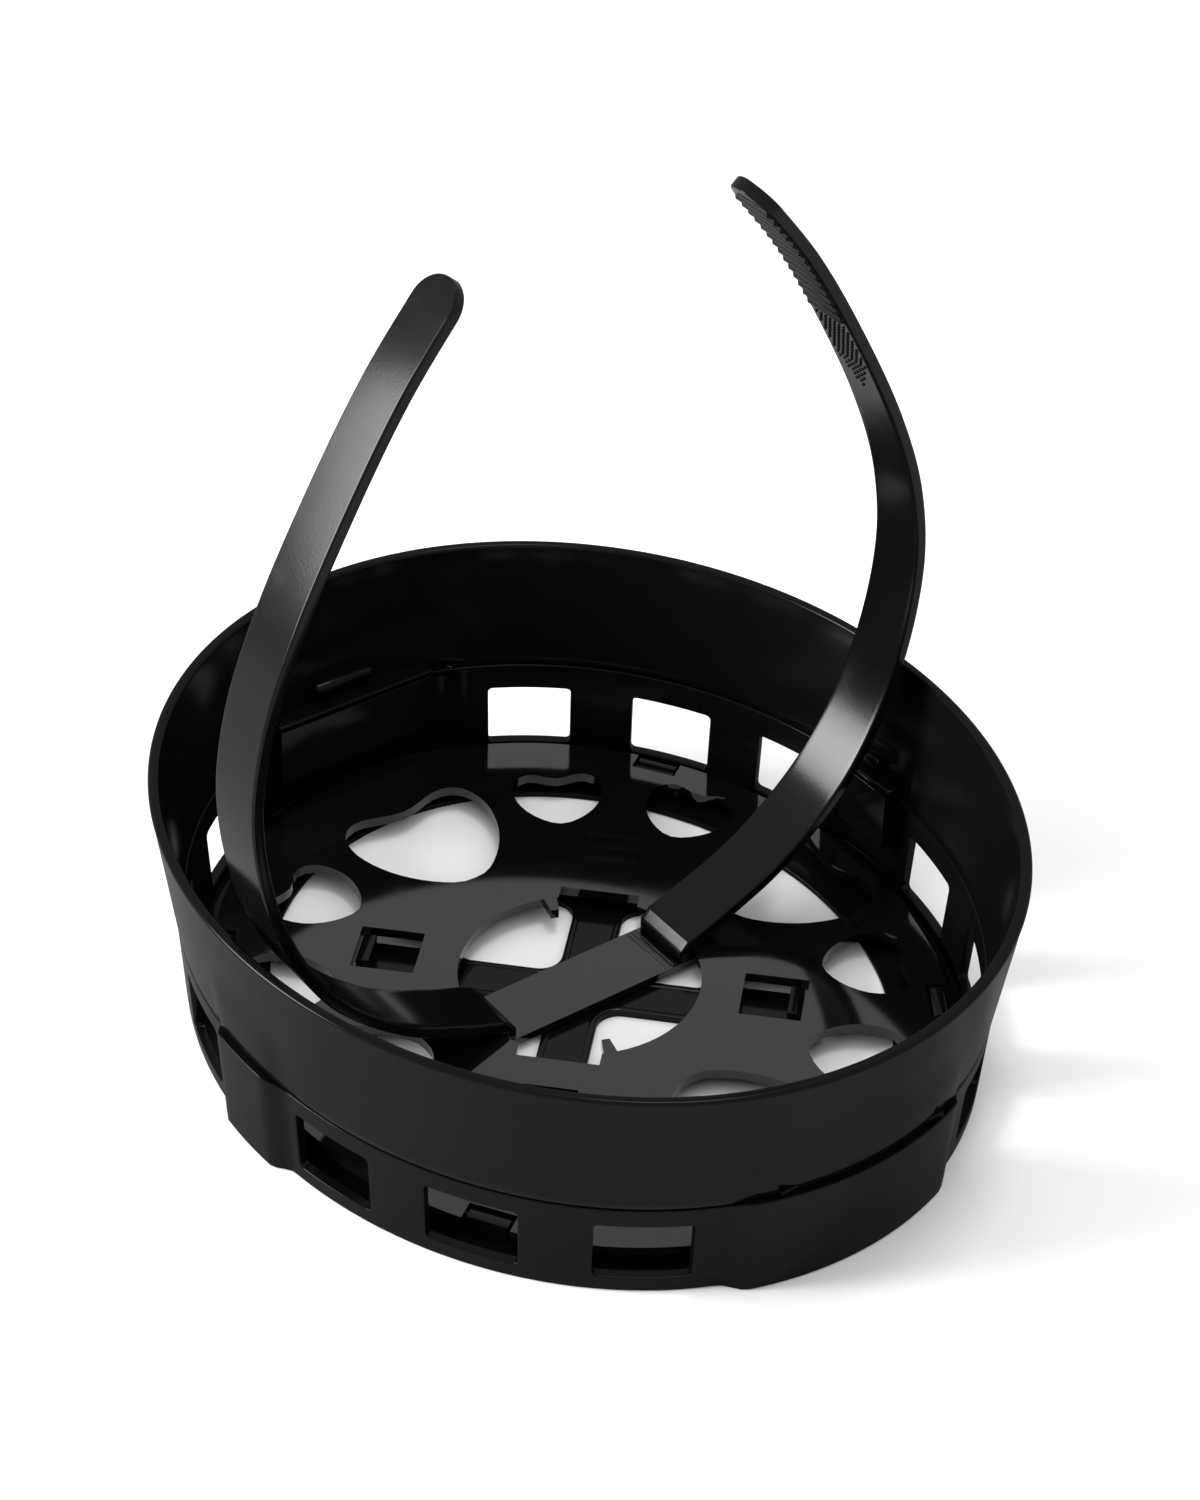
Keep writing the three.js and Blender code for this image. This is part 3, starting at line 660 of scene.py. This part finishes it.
class DIFFUSER_OT_flat_pieces(bpy.types.Operator):
    """Deck, retainer and clips, with rounded edges"""
    bl_idname = "diffuser.flat_pieces"
    bl_label = "Deck, retainer and clips"

    def execute(self, context):
        edge = settings().edge
        retainer_top, holes_within = 0.0012, 0.03
        bead_width, bead_height, bead_offset = 0.0012, 0.00022, 0.0009
        radii = {"deck_plate": edge.deck, "retainer_plate": edge.clip}
        clips = [name for name in frame["nodes"] if "_clip_" in name]
        for name in ["deck_plate", "retainer_plate"] + clips:
            bm = copy_of_node(name)
            loops = hole_loops(bm, retainer_top, holes_within) if name == "retainer_plate" else []
            soften(bm, radii.get(name, edge.clip), 35.0)
            for loop in loops:
                middle = sum(loop, Vector()) / len(loop)
                outward = [point + (point - middle).normalized() * bead_offset for point in loop]
                bead(bm, outward, bead_width, bead_height)
            bmesh.ops.recalc_face_normals(bm, faces=bm.faces)
            finish_piece(bm, name.replace("_clip_", "_catch_") + "_moulding", body_of_node(name),
                         slot_of_node(name), [name])
        return {"FINISHED"}


class DIFFUSER_OT_bar(bpy.types.Operator):
    """Bar of the yoke, plain, with the fine lines across one end"""
    bl_idname = "diffuser.bar"
    bl_label = "Yoke bar"

    def execute(self, context):
        bm = copy_of_node("yoke_bar")
        soften(bm, settings().edge.bar, 35.0, 3)
        side, width, proud = 0.0005, 0.0003, 0.0001
        for y in (0.0158, 0.0168, 0.0178):
            add_box(bm, (BAR_LOW[0] + side, y, BAR_HIGH[2] - proud),
                    (BAR_HIGH[0] - side, y + width, BAR_HIGH[2] + proud))
        finish_piece(bm, "bar_moulding", body_of_node("yoke_bar"), slot_of_node("yoke_bar"), ["yoke_bar"])
        return {"FINISHED"}


# The arm's inner face: share of the way out from its root to its widest place, share of its height.
ARM_LINE = [
    (0, 0.048), (0.176, 0.069), (0.435, 0.109), (0.725, 0.192), (0.92, 0.311), (1, 0.449),
    (0.96, 0.557), (0.834, 0.665), (0.595, 0.805), (0.395, 0.904), (0.236, 0.967), (0.146, 1),
]


class ArmPath:
    """The smooth line that an arm follows, by distance along it."""

    def __init__(self, arm):
        root = ARM_LOW[1] + arm.thickness - 0.0004
        reach = ARM_HIGH[1] - arm.thickness
        knots = [Vector((0.0, root + (reach - root) * out, up * arm.height)) for out, up in ARM_LINE]
        self.points = self.through(knots)
        self.lengths = [0.0]
        for first, second in zip(self.points, self.points[1:]):
            self.lengths.append(self.lengths[-1] + (second - first).length)
        self.length = self.lengths[-1]

    def through(self, knots, steps=40):
        """Centripetal Catmull-Rom points through the knots."""
        ends = [2 * knots[0] - knots[1]] + knots + [2 * knots[-1] - knots[-2]]
        points = []
        for p0, p1, p2, p3 in zip(ends, ends[1:], ends[2:], ends[3:]):
            t1 = math.sqrt((p1 - p0).length)
            t2 = t1 + math.sqrt((p2 - p1).length)
            t3 = t2 + math.sqrt((p3 - p2).length)
            for i in range(steps):
                t = t1 + (t2 - t1) * i / steps
                a1 = p0.lerp(p1, t / t1)
                a2 = p1.lerp(p2, (t - t1) / (t2 - t1))
                a3 = p2.lerp(p3, (t - t2) / (t3 - t2))
                b1 = a1.lerp(a2, t / t2)
                b2 = a2.lerp(a3, (t - t1) / (t3 - t1))
                points.append(b1.lerp(b2, (t - t1) / (t2 - t1)))
        return points + [knots[-1]]

    def at(self, distance):
        """(point, direction) at a distance along the line."""
        index = 1
        while index < len(self.lengths) - 1 and self.lengths[index] < distance:
            index += 1
        first, second = self.points[index - 1], self.points[index]
        share = (distance - self.lengths[index - 1]) / (self.lengths[index] - self.lengths[index - 1])
        before = self.points[max(index - 3, 0)]
        after = self.points[min(index + 2, len(self.points) - 1)]
        return first.lerp(second, share), (after - before).normalized()


class DIFFUSER_OT_arms(bpy.types.Operator):
    """The two springy arms, with round tips and grip ridges"""
    bl_idname = "diffuser.arms"
    bl_label = "Arms"

    def execute(self, context):
        for name, turn in (("arm_right", 0.0), ("arm_left", math.pi)):
            bm = self.strap()
            self.add_dots(bm)
            bmesh.ops.rotate(bm, matrix=Matrix.Rotation(turn, 4, "Z"), verts=bm.verts)
            finish_piece(bm, name + "_strap", body_of_node(name), slot_of_node(name), [name], "arm_black")
        return {"FINISHED"}

    def add_dots(self, bm):
        """Rows of small domes on the inner face below the ridges, fewer in each row further down."""
        arm = settings().arm
        path = ArmPath(arm)
        below_ridges = 0.0055
        rows, full_rows, most = 16, 10, 7
        pitch, spacing, stagger = 0.0012, 0.00125, 0.0003
        radius, proud = 0.00038, 0.00002
        start = path.length - below_ridges - arm.ridges * arm.ridge_pitch
        for row in range(rows):
            point, direction = path.at(start - row * pitch)
            inward = Vector((0, -direction.z, direction.y))
            across = most - max(row - full_rows + 1, 0)
            for column in range(across):
                x = (column - (across - 1) / 2) * spacing + (stagger if row % 2 else -stagger)
                dot = bmesh.ops.create_icosphere(bm, subdivisions=1, radius=radius)["verts"]
                bmesh.ops.translate(bm, vec=point + inward * proud + Vector((x, 0, 0)), verts=dot)

    def section(self, arm, width):
        """Across (x) and through (0 inner face, 1 outer face) of a rounded strap section."""
        half = width / 2
        edge = min(arm.edge, half * 0.9)
        corners = [(half - edge, arm.thickness - edge, 0), (edge - half, arm.thickness - edge, 90),
                   (edge - half, edge, 180), (half - edge, edge, 270)]
        points = []
        for x, y, start in corners:
            points += rounded((x, y), edge, start, 90, 3)
            if start == 180:
                points += [(-width * 0.4, 0.0), (width * 0.4, 0.0)]
        return points

    def strap(self):
        """A ring of vertices for each station, bridged to the next, and a face at both ends."""
        arm = settings().arm
        path = ArmPath(arm)
        tip = arm.width * arm.tip_share / 2
        stations = self.stations(path, arm, tip)
        bm = bmesh.new()
        previous = None
        for centre, out, width, ridge in stations:
            ring = []
            for x, through in self.section(arm, width):
                lift = ridge if through == 0.0 and abs(x) < width * 0.41 else 0.0
                ring.append(bm.verts.new(centre + out * (through - lift) + Vector((x, 0, 0))))
            edges = [bm.edges.new((ring[i - 1], ring[i])) for i in range(len(ring))]
            if previous:
                bmesh.ops.bridge_loops(bm, edges=previous + edges)
            previous = edges
        bmesh.ops.holes_fill(bm, edges=[edge for edge in bm.edges if edge.is_boundary])
        bmesh.ops.recalc_face_normals(bm, faces=bm.faces)
        return bm

    def stations(self, path, arm, tip):
        """(point on the inner face, outward direction, width, ridge height) along riser and strap."""
        stations = []
        foot = ARM_LOW[2]
        inner = ARM_LOW[1]
        root_bend, tip_margin = 0.0022, 0.004
        start, direction = path.at(0.0)
        out = Vector((0, direction.z, -direction.y))
        bend = 6
        for i in range(4):
            z = foot + (start.z - root_bend - foot) * i / 3
            stations.append((Vector((0, inner, z)), Vector((0, 1, 0)), arm.width, 0.0))
        last = stations[-1][0]
        for i in range(1, bend):
            share = smoothstep(i / bend)
            normal = Vector((0, 1, 0)).lerp(out, share).normalized()
            stations.append((last.lerp(start, i / bend), normal, arm.width, 0.0))
        steps = 150
        ridge_start = path.length - tip_margin - arm.ridges * arm.ridge_pitch
        distances = [path.length * i / steps for i in range(steps)]
        distances = [d for d in distances if d < ridge_start]
        distances += [ridge_start + arm.ridge_pitch * i / 6 for i in range(arm.ridges * 6)]
        left = path.length - distances[-1]
        distances += [distances[-1] + left * math.sin(math.pi / 2 * i / 12) for i in range(1, 13)]
        for distance in distances:
            point, direction = path.at(distance)
            up = min(max((point.z - DECK_HIGH[2]) / (arm.height - DECK_HIGH[2]), 0.0), 1.0)
            width = arm.width * (1 + (arm.tip_share - 1) * up)
            from_end = path.length - distance
            if from_end < tip:
                width *= math.sqrt(max(1 - ((tip - from_end) / tip) ** 2, 0.004))
            ridge = 0.0
            if ridge_start <= distance <= ridge_start + arm.ridges * arm.ridge_pitch:
                phase = ((distance - ridge_start) / arm.ridge_pitch) % 1.0
                ridge = arm.ridge_height * (0.5 - 0.5 * math.cos(2 * math.pi * phase))
            stations.append((point, Vector((0, direction.z, -direction.y)), width, ridge))
        return stations


# ---------------------------------------------------------------- the stage

class DIFFUSER_OT_stage(bpy.types.Operator):
    """Pale floor, soft lights and the camera"""
    bl_idname = "diffuser.stage"
    bl_label = "Stage"

    def execute(self, context):
        context.scene.view_settings.view_transform = "Standard"
        self.floor()
        self.world()
        self.lights()
        self.camera()
        return {"FINISHED"}

    def floor(self):
        bm = bmesh.new()
        bmesh.ops.create_circle(bm, cap_ends=True, segments=64, radius=3.0)
        mesh = bpy.data.meshes.new("floor")
        bm.to_mesh(mesh)
        bm.free()
        floor = bpy.data.objects.new("floor", mesh)
        bpy.context.scene.collection.objects.link(floor)
        shader = Shader("Studio floor")
        shade = shader.noise(3.0, 2.0)
        colour = tuple(settings().finish.floor) + (1.0,)
        shader.set(Base_Color=shader.mix(shade * 0.1, colour, (0.86, 0.86, 0.86, 1.0)), Roughness=0.9)
        mesh.materials.append(shader.material)

    def world(self):
        world = bpy.data.worlds.new("Studio")
        world.use_nodes = True
        background = world.node_tree.nodes["Background"]
        background.inputs["Color"].default_value = (1.0, 1.0, 1.0, 1.0)
        background.inputs["Strength"].default_value = 1.0
        bpy.context.scene.world = world

    def lights(self):
        for name, place, size, spread, power in (
            ("Low softbox", (-0.62, -1.02, 0.42), 0.7, 50.0, 4.0),
            ("Top softbox", (-0.15, 0.25, 1.7), 0.45, 120.0, 2.6),
        ):
            light = bpy.data.lights.new(name, "AREA")
            light.shape = "DISK"
            light.size = size
            light.spread = math.radians(spread)
            light.energy = power
            lamp = bpy.data.objects.new(name, light)
            lamp.location = place
            aim = LAMP_AIM - Vector(place)
            lamp.rotation_euler = aim.to_track_quat("-Z", "Y").to_euler()
            bpy.context.scene.collection.objects.link(lamp)

    def camera(self):
        roll = math.radians(1.86)
        ahead = Vector((-0.64106, 0.48466, -0.59510)).normalized()
        right = ahead.cross(Vector((0, 0, 1))).normalized()
        up = right.cross(ahead)
        side = right * math.cos(roll) + up * math.sin(roll)
        top = up * math.cos(roll) - right * math.sin(roll)
        camera = bpy.data.cameras.new("Camera")
        camera.lens = 84.0
        camera.sensor_width = 36.0
        view = bpy.data.objects.new("Camera", camera)
        place = Vector((0.40888, -0.30601, 0.43660))
        rows = [[side[i], top[i], -ahead[i], place[i]] for i in range(3)] + [[0, 0, 0, 1]]
        view.matrix_world = Matrix(rows)
        bpy.context.scene.collection.objects.link(view)
        bpy.context.scene.camera = view


# ---------------------------------------------------------------- registration

SETTINGS = (ShellSizes, WindowSizes, ArmSizes, EdgeSizes, FinishSettings, DiffuserSettings)
OPERATORS = (DIFFUSER_OT_ring, DIFFUSER_OT_base, DIFFUSER_OT_flat_pieces, DIFFUSER_OT_bar,
             DIFFUSER_OT_arms, DIFFUSER_OT_stage)


class DIFFUSER_PT_panel(bpy.types.Panel):
    """Lists the diffuser's operators"""
    bl_label = "Dryer Diffuser"
    bl_idname = "DIFFUSER_PT_panel"
    bl_space_type = "VIEW_3D"
    bl_region_type = "UI"
    bl_category = "Diffuser"

    def draw(self, context):
        for operator in OPERATORS:
            self.layout.operator(operator.bl_idname)


def register():
    for cls in SETTINGS + OPERATORS + (DIFFUSER_PT_panel,):
        bpy.utils.register_class(cls)
    bpy.types.Scene.diffuser = PointerProperty(type=DiffuserSettings)


def unregister():
    del bpy.types.Scene.diffuser
    for cls in reversed(SETTINGS + OPERATORS + (DIFFUSER_PT_panel,)):
        bpy.utils.unregister_class(cls)


def main():
    register()
    bpy.ops.diffuser.ring()
    bpy.ops.diffuser.base()
    bpy.ops.diffuser.flat_pieces()
    bpy.ops.diffuser.bar()
    bpy.ops.diffuser.arms()
    bpy.ops.diffuser.stage()


if __name__ == "__main__":
    main()
